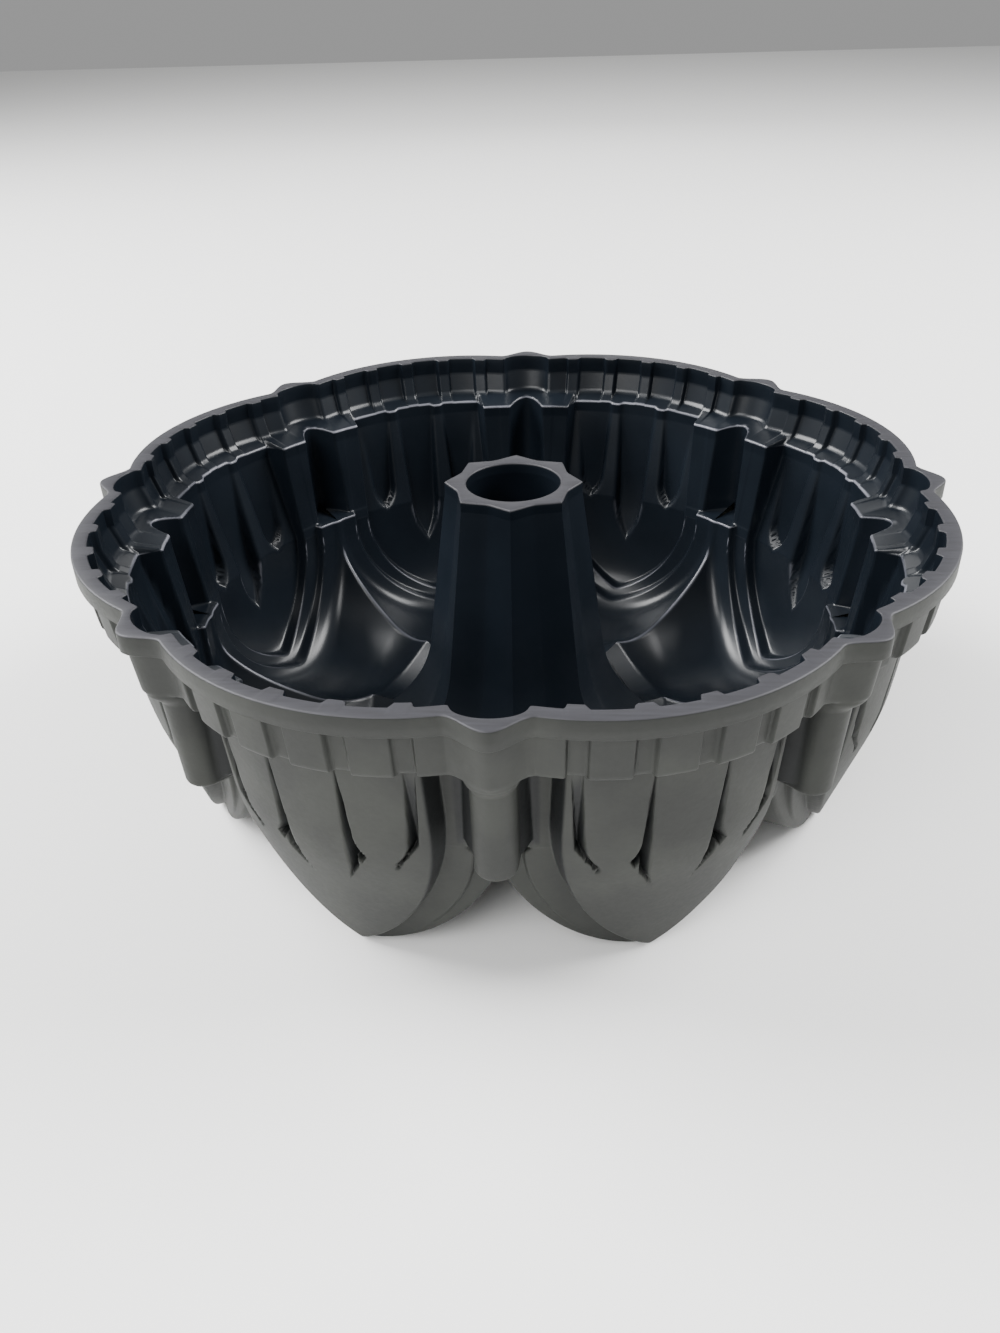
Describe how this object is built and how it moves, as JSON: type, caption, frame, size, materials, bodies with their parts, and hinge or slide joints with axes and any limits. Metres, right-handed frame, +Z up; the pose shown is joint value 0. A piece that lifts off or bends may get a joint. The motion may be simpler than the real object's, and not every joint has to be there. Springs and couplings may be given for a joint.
{
  "type": "fluted tube pan",
  "caption": "Deep cast ring cake pan with eight pointed-arch bays, a pleated band under a wavy rim and a fluted centre tube.",
  "frame": {"origin": "centre of the pan on the plane it stands on", "axes": "+Z up, out of the pan's mouth; -Y towards the front column"},
  "size_m": [0.25, 0.25, 0.094],
  "materials": {
    "ground": "ground flat",
    "paint": "matt warm grey paint on the outside, glossy dark non-stick lining inside",
    "lining": "glossy dark non-stick lining"
  },
  "bodies": {
    "root": {"rim_flange": "ground", "pleated_band": "paint", "bay_1": "paint", "bay_2": "paint", "bay_3": "paint", "bay_4": "paint", "bay_5": "paint", "bay_6": "paint", "bay_7": "paint", "bay_8": "paint", "column_1": "paint", "column_2": "paint", "column_3": "paint", "column_4": "paint", "column_5": "paint", "column_6": "paint", "column_7": "paint", "column_8": "paint", "centre_tube": "lining", "tube_collar": "ground"}
  },
  "joints": []
}
